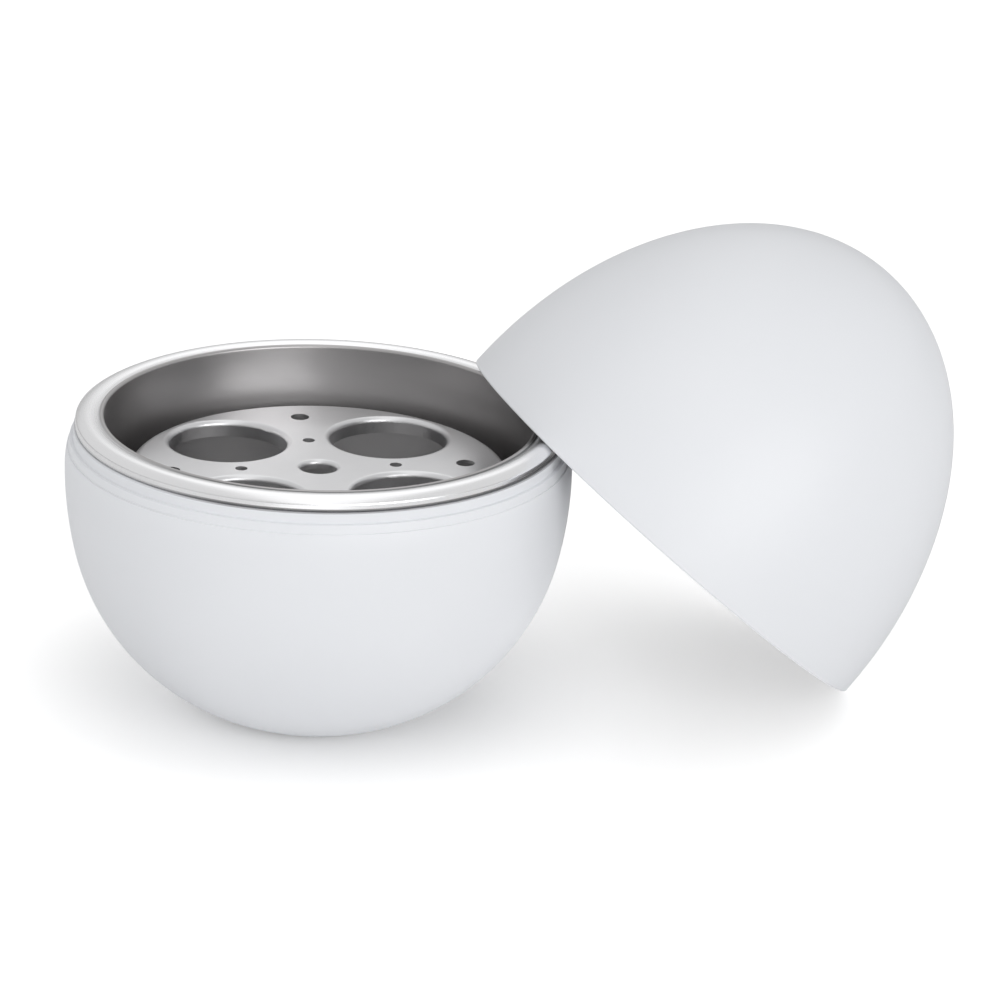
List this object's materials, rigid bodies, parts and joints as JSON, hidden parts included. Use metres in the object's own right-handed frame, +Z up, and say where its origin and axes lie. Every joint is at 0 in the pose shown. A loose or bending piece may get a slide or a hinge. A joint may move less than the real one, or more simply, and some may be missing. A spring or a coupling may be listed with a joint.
{
  "type": "microwave egg cooker",
  "caption": "Egg-shaped microwave egg cooker: white plastic bowl with metal liner and egg rack; its lined dome lid is lifted off and leans on the rim.",
  "frame": {"origin": "centre of the bowl's flat foot on the table", "axes": "+Z up along the bowl's axis, +X from the bowl towards the leaning lid"},
  "size_m": [0.2519, 0.14, 0.1313],
  "materials": {
    "white_plastic": "smooth satin moulded polypropylene",
    "spun_aluminium": "polished, with fine turning lines",
    "pressed_aluminium": "satin"
  },
  "bodies": {
    "root": {"base_shell": "white_plastic", "base_liner": "spun_aluminium", "egg_rack": "pressed_aluminium", "lid_shell": "white_plastic", "lid_liner": "spun_aluminium"}
  },
  "joints": []
}
